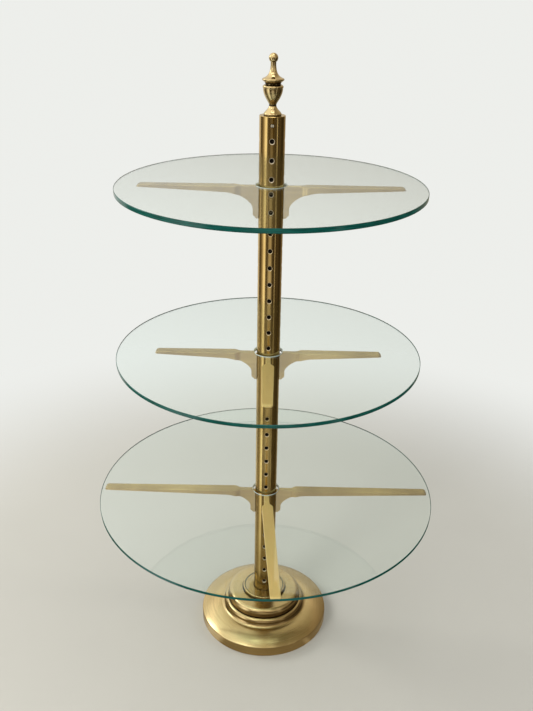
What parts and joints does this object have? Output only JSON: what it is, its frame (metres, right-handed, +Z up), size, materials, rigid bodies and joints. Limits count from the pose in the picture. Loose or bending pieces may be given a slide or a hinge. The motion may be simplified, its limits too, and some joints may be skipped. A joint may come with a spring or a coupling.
{
  "type": "etagere",
  "caption": "Round tiered display stand: glass disc shelves rest on brass arms plugged into a drilled brass column, with a turned finial above and a stepped, weighted round base.",
  "frame": {"origin": "on the floor under the column's axis, on the felt's underside", "axes": "+Z up the column; +X to the right and -Y to the front, where the lowest front arm stands"},
  "size_m": [0.7839, 0.784, 1.3551],
  "materials": {
    "column_brass": "polished and lacquered antique brass tube",
    "turned_brass": "lathe-turned antique brass, polished with fine turning lines",
    "cast_brass": "cast brass, brushed along the arm and lacquered",
    "peg_steel": "turned steel, bright",
    "steel": "plain zinc-plated steel",
    "cast_iron": "rough casting, painted",
    "felt": "pressed felt",
    "clear_glass": "clear plate glass with ground and polished edges"
  },
  "bodies": {
    "stand": {"column": "column_brass", "column_top_plug": "turned_brass", "top_plug_screw": "turned_brass", "column_foot_plug": "steel", "column_collar": "turned_brass", "plinth": "turned_brass", "base_shell": "turned_brass", "base_weight": "cast_iron", "base_felt": "felt", "base_bolt": "steel", "base_washer": "steel"},
    "finial_stud": {"finial_stud": "steel"},
    "finial": {"finial": "turned_brass"},
    "top_glass": {"top_glass": "clear_glass"},
    "middle_glass": {"middle_glass": "clear_glass"},
    "bottom_glass": {"bottom_glass": "clear_glass"},
    "top_left_arm": {"top_left_arm": "cast_brass", "top_left_pegs": "peg_steel"},
    "top_right_arm": {"top_right_arm": "cast_brass", "top_right_pegs": "peg_steel"},
    "top_rear_arm": {"top_rear_arm": "cast_brass", "top_rear_pegs": "peg_steel"},
    "middle_left_arm": {"middle_left_arm": "cast_brass", "middle_left_pegs": "peg_steel"},
    "middle_right_arm": {"middle_right_arm": "cast_brass", "middle_right_pegs": "peg_steel"},
    "middle_front_arm": {"middle_front_arm": "cast_brass", "middle_front_pegs": "peg_steel"},
    "middle_rear_arm": {"middle_rear_arm": "cast_brass", "middle_rear_pegs": "peg_steel"},
    "bottom_left_arm": {"bottom_left_arm": "cast_brass", "bottom_left_pegs": "peg_steel"},
    "bottom_right_arm": {"bottom_right_arm": "cast_brass", "bottom_right_pegs": "peg_steel"},
    "bottom_front_arm": {"bottom_front_arm": "cast_brass", "bottom_front_pegs": "peg_steel"},
    "bottom_rear_arm": {"bottom_rear_arm": "cast_brass", "bottom_rear_pegs": "peg_steel"}
  },
  "joints": [
    {"name": "finial_rise", "type": "slide", "parent": "stand", "child": "finial_stud", "axis": [0, 0, 1], "range_m": [0, 0.02]},
    {"name": "finial_turn", "type": "hinge", "parent": "finial_stud", "child": "finial", "pos_m": [0, 0, 1.2451], "axis": [0, 0, 1], "range_deg": [0, 5760]},
    {"name": "top_glass_lift", "type": "slide", "parent": "stand", "child": "top_glass", "axis": [0, 0, 1], "range_m": [0, 0.27]},
    {"name": "middle_glass_lift", "type": "slide", "parent": "stand", "child": "middle_glass", "axis": [0, 0, 1], "range_m": [0, 0.28]},
    {"name": "bottom_glass_lift", "type": "slide", "parent": "stand", "child": "bottom_glass", "axis": [0, 0, 1], "range_m": [0, 0.28]},
    {"name": "top_left_arm_pull", "type": "slide", "parent": "stand", "child": "top_left_arm", "axis": [-1, 0, 0], "range_m": [0, 0.03]},
    {"name": "top_right_arm_pull", "type": "slide", "parent": "stand", "child": "top_right_arm", "axis": [1, 0, 0], "range_m": [0, 0.03]},
    {"name": "top_rear_arm_pull", "type": "slide", "parent": "stand", "child": "top_rear_arm", "axis": [0, 1, 0], "range_m": [0, 0.03]},
    {"name": "middle_left_arm_pull", "type": "slide", "parent": "stand", "child": "middle_left_arm", "axis": [-1, 0, 0], "range_m": [0, 0.03]},
    {"name": "middle_right_arm_pull", "type": "slide", "parent": "stand", "child": "middle_right_arm", "axis": [1, 0, 0], "range_m": [0, 0.03]},
    {"name": "middle_front_arm_pull", "type": "slide", "parent": "stand", "child": "middle_front_arm", "axis": [0, -1, 0], "range_m": [0, 0.03]},
    {"name": "middle_rear_arm_pull", "type": "slide", "parent": "stand", "child": "middle_rear_arm", "axis": [0, 1, 0], "range_m": [0, 0.03]},
    {"name": "bottom_left_arm_pull", "type": "slide", "parent": "stand", "child": "bottom_left_arm", "axis": [-1, 0, 0], "range_m": [0, 0.03]},
    {"name": "bottom_right_arm_pull", "type": "slide", "parent": "stand", "child": "bottom_right_arm", "axis": [1, 0, 0], "range_m": [0, 0.03]},
    {"name": "bottom_front_arm_pull", "type": "slide", "parent": "stand", "child": "bottom_front_arm", "axis": [0, -1, 0], "range_m": [0, 0.03]},
    {"name": "bottom_rear_arm_pull", "type": "slide", "parent": "stand", "child": "bottom_rear_arm", "axis": [0, 1, 0], "range_m": [0, 0.03]}
  ],
  "couplings": [
    {"joint": "finial_turn", "follows": "finial_rise", "rad_per_m": 5026.5}
  ]
}
